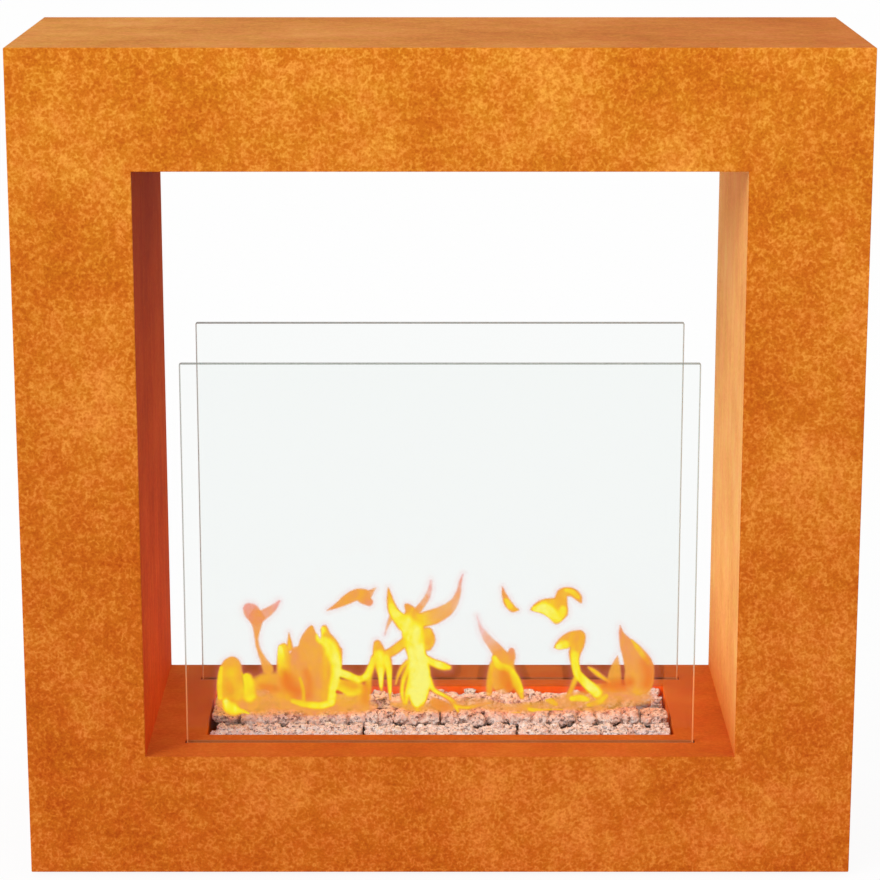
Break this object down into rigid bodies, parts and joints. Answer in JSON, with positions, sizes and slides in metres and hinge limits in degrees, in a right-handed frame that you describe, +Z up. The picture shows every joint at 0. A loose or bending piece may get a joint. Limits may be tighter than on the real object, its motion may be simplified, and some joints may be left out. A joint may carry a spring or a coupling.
{
  "type": "bioethanol fireplace",
  "caption": "Free-standing see-through square fireplace in weathering steel, with a stone-covered bioethanol burner between two loose glass panes.",
  "frame": {"origin": "on the floor under the middle of the casing", "axes": "+X along the width, to the right seen from the front; +Y to the rear; +Z up; the front face looks to -Y"},
  "size_m": [1.05, 0.38, 1.062],
  "materials": {
    "weathering_steel": "weathering steel with a fine-grained orange-brown rust skin, matt",
    "clear_glass": "clear toughened, ground edges with a grey-green tint",
    "seal_rubber": "translucent heat-resistant silicone that takes the colour of the steel",
    "stainless": "brushed stainless, heat tinted near the mouth",
    "zinc_steel": "zinc-plated, dull",
    "ceramic_fibre": "white ceramic fibre",
    "foot_plastic": "black moulded polyamide",
    "granite_stone": "broken pinkish-grey granite with white and dark grains"
  },
  "bodies": {
    "casing": {"front_face": "weathering_steel", "rear_face": "weathering_steel", "left_side": "weathering_steel", "right_side": "weathering_steel", "top_panel": "weathering_steel", "base_plate": "weathering_steel", "left_reveal": "weathering_steel", "right_reveal": "weathering_steel", "soffit": "weathering_steel", "hearth_plate": "weathering_steel", "recess_box": "weathering_steel", "front_glass_channel": "zinc_steel", "rear_glass_channel": "zinc_steel", "front_glass_gasket": "seal_rubber", "rear_glass_gasket": "seal_rubber", "front_left_foot_nut": "zinc_steel", "front_right_foot_nut": "zinc_steel", "rear_left_foot_nut": "zinc_steel", "rear_right_foot_nut": "zinc_steel"},
    "front_pane": {"front_glass": "clear_glass"},
    "rear_pane": {"rear_glass": "clear_glass"},
    "burner": {"burner_tank": "stainless", "ceramic_wool": "ceramic_fibre", "wool_mesh": "stainless", "burner_top_plate": "stainless", "left_damper_guide": "stainless", "right_damper_guide": "stainless", "stone_shelf": "stainless", "front_stones_left": "granite_stone", "front_stones_middle": "granite_stone", "front_stones_right": "granite_stone", "rear_stones_left": "granite_stone", "rear_stones_middle": "granite_stone", "rear_stones_right": "granite_stone", "left_end_stones": "granite_stone", "right_end_stones": "granite_stone", "front_rim_stones_left": "granite_stone", "front_rim_stones_right": "granite_stone", "rear_rim_stones_left": "granite_stone", "rear_rim_stones_right": "granite_stone"},
    "damper": {"damper_blade": "stainless", "damper_knob": "stainless"},
    "front_left_pad": {"front_left_foot_pad": "foot_plastic"},
    "front_left_stud": {"front_left_foot_stud": "zinc_steel"},
    "front_right_pad": {"front_right_foot_pad": "foot_plastic"},
    "front_right_stud": {"front_right_foot_stud": "zinc_steel"},
    "rear_left_pad": {"rear_left_foot_pad": "foot_plastic"},
    "rear_left_stud": {"rear_left_foot_stud": "zinc_steel"},
    "rear_right_pad": {"rear_right_foot_pad": "foot_plastic"},
    "rear_right_stud": {"rear_right_foot_stud": "zinc_steel"}
  },
  "joints": [
    {"name": "front_glass_lift", "type": "slide", "parent": "casing", "child": "front_pane", "axis": [0, 0, 1], "range_m": [0, 0.24]},
    {"name": "rear_glass_lift", "type": "slide", "parent": "casing", "child": "rear_pane", "axis": [0, 0, 1], "range_m": [0, 0.24]},
    {"name": "burner_lift", "type": "slide", "parent": "casing", "child": "burner", "axis": [0, 0, 1], "range_m": [0, 0.6]},
    {"name": "damper_slide", "type": "slide", "parent": "burner", "child": "damper", "axis": [0, -1, 0], "range_m": [0, 0.031]},
    {"name": "front_left_foot_level", "type": "slide", "parent": "casing", "child": "front_left_pad", "axis": [0, 0, 1], "range_m": [-0.012, 0]},
    {"name": "front_left_stud_turn", "type": "hinge", "parent": "front_left_pad", "child": "front_left_stud", "pos_m": [-0.465, -0.13, 0.01], "axis": [0, 0, 1], "range_deg": [-2881, 1]},
    {"name": "front_right_foot_level", "type": "slide", "parent": "casing", "child": "front_right_pad", "axis": [0, 0, 1], "range_m": [-0.012, 0]},
    {"name": "front_right_stud_turn", "type": "hinge", "parent": "front_right_pad", "child": "front_right_stud", "pos_m": [0.465, -0.13, 0.01], "axis": [0, 0, 1], "range_deg": [-2881, 1]},
    {"name": "rear_left_foot_level", "type": "slide", "parent": "casing", "child": "rear_left_pad", "axis": [0, 0, 1], "range_m": [-0.012, 0]},
    {"name": "rear_left_stud_turn", "type": "hinge", "parent": "rear_left_pad", "child": "rear_left_stud", "pos_m": [-0.465, 0.13, 0.01], "axis": [0, 0, 1], "range_deg": [-2881, 1]},
    {"name": "rear_right_foot_level", "type": "slide", "parent": "casing", "child": "rear_right_pad", "axis": [0, 0, 1], "range_m": [-0.012, 0]},
    {"name": "rear_right_stud_turn", "type": "hinge", "parent": "rear_right_pad", "child": "rear_right_stud", "pos_m": [0.465, 0.13, 0.01], "axis": [0, 0, 1], "range_deg": [-2881, 1]}
  ],
  "couplings": [
    {"joint": "front_left_stud_turn", "follows": "front_left_foot_level", "rad_per_m": 4188.8},
    {"joint": "front_right_stud_turn", "follows": "front_right_foot_level", "rad_per_m": 4188.8},
    {"joint": "rear_left_stud_turn", "follows": "rear_left_foot_level", "rad_per_m": 4188.8},
    {"joint": "rear_right_stud_turn", "follows": "rear_right_foot_level", "rad_per_m": 4188.8}
  ]
}
